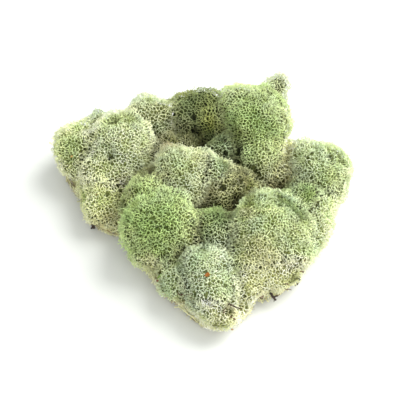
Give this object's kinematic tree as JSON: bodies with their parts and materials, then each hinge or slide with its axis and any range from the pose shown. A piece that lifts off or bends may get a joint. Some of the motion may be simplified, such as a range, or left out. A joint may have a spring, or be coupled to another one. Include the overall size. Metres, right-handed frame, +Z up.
{
  "type": "moss clump",
  "caption": "Loose clump of pale green reindeer moss: rounded spongy heads of fine branchlets pressed together on a thin flat matted layer of old stalks.",
  "frame": {"origin": "under the middle of the clump's box, on the surface that it rests on", "axes": "+X to the right of the picture, +Y away from the viewer, +Z up"},
  "size_m": [0.1872, 0.175, 0.0509],
  "materials": {
    "fresh": "matte",
    "green": "matte",
    "lime": "matte",
    "mint": "matte",
    "cream": "matte",
    "straw_green": "matte",
    "shaded": "matte",
    "olive": "matte",
    "old_moss": "matte",
    "pale": "matte",
    "straw": "matte",
    "old_stalk": "matte",
    "bark": "matte",
    "needle": "matte",
    "orange_leaf": "matte"
  },
  "bodies": {
    "root": {"straw_base": "old_stalk", "tuft_far_left": "fresh", "tuft_left_notch": "fresh", "tuft_left": "cream", "tuft_back_left": "straw_green", "tuft_left_foot": "straw", "tuft_back_middle": "shaded", "tuft_back_hollow": "shaded", "tuft_middle": "cream", "tuft_middle_right": "mint", "tuft_middle_left": "green", "tuft_back_knob": "shaded", "tuft_back_right": "green", "tuft_hollow_high": "shaded", "tuft_hollow_left": "olive", "tuft_hollow_low": "olive", "tuft_right_hollow": "old_moss", "tuft_right": "mint", "tuft_right_inner": "mint", "tuft_right_flank": "pale", "tuft_front_right": "lime", "tuft_front_gap": "shaded", "tuft_front": "mint", "tuft_front_left_foot": "pale", "tuft_front_foot": "straw", "tuft_front_right_foot": "straw", "long_dark_twig": "bark", "short_dark_twig": "bark", "brown_needle": "needle", "orange_leaf_flake": "orange_leaf", "bark_bit_left": "bark", "bark_bit_left_foot": "bark", "bark_bit_right": "bark", "bark_bit_front": "needle"}
  },
  "joints": []
}
